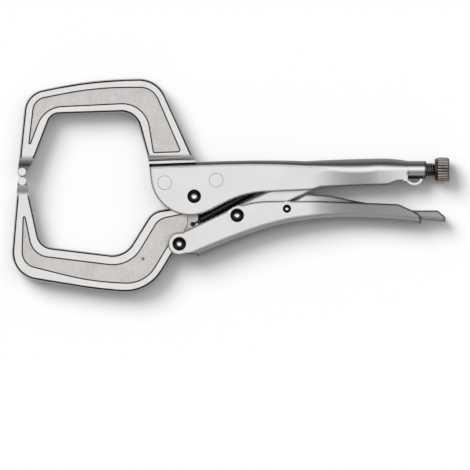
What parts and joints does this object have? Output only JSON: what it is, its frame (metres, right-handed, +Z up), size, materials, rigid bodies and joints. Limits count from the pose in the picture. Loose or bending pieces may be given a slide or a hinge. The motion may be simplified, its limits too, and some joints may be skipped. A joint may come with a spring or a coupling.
{
  "type": "locking c-clamp pliers",
  "caption": "Locking C-clamp pliers: deep forged jaws on pressed steel handles, an over-centre lever and link, a knurled adjusting screw and a release lever.",
  "frame": {"origin": "bottom centre of the bounding box of the closed tool, lying on its side", "axes": "+X along the tool from the jaws to the adjusting screw, +Y across it from the lower handle to the upper handle, +Z up through its thickness"},
  "size_m": [0.2808, 0.1372, 0.0166],
  "materials": {
    "plated_sheet": "satin nickel plate",
    "plated_forging": "satin nickel plate over a forged skin",
    "rivet_steel": "satin",
    "link_steel": "satin nickel plate",
    "screw_steel": "oiled dark steel",
    "spring_steel": "dark drawn wire"
  },
  "bodies": {
    "handle": {"upper_handle": "plated_sheet", "fixed_jaw": "plated_forging", "front_jaw_rivet": "rivet_steel", "rear_jaw_rivet": "rivet_steel", "main_pivot_rivet": "rivet_steel", "tension_spring": "spring_steel"},
    "jaw": {"lower_jaw": "plated_forging"},
    "lever": {"lower_handle": "plated_sheet", "lever_pivot_rivet": "rivet_steel", "link_pivot_rivet": "rivet_steel", "release_rivet": "rivet_steel"},
    "link": {"toggle_link": "link_steel"},
    "release": {"release_lever": "plated_sheet"},
    "screw": {"adjusting_screw": "screw_steel"},
    "knob": {"screw_knob": "screw_steel"}
  },
  "joints": [
    {"name": "jaw_open", "type": "hinge", "parent": "handle", "child": "jaw", "pos_m": [-0.02339, -0.00695, 0.0083], "axis": [0, 0, 1], "range_deg": [0, 24], "deforming": ["tension_spring"]},
    {"name": "lever_swing", "type": "hinge", "parent": "jaw", "child": "lever", "pos_m": [-0.03295, -0.03742, 0.0083], "axis": [0, 0, 1], "range_deg": [-59, 0]},
    {"name": "link_swing", "type": "hinge", "parent": "lever", "child": "link", "pos_m": [0.00419, -0.01914, 0.0083], "axis": [0, 0, 1], "range_deg": [0, 61]},
    {"name": "release_press", "type": "hinge", "parent": "lever", "child": "release", "pos_m": [0.03611, -0.0149, 0.0083], "axis": [0, 0, 1], "range_deg": [0, 6]},
    {"name": "screw_feed", "type": "slide", "parent": "handle", "child": "screw", "axis": [1, 0, 0], "range_m": [-0.005, 0.025]},
    {"name": "knob_turn", "type": "hinge", "parent": "screw", "child": "knob", "pos_m": [0.13081, 0.00999, 0.0083], "axis": [1, 0, 0], "continuous": true}
  ],
  "couplings": [
    {"joint": "lever_swing", "follows": "jaw_open", "ratio": -2.44},
    {"joint": "link_swing", "follows": "jaw_open", "ratio": 2.52},
    {"joint": "knob_turn", "follows": "screw_feed", "rad_per_m": 5026.5}
  ]
}
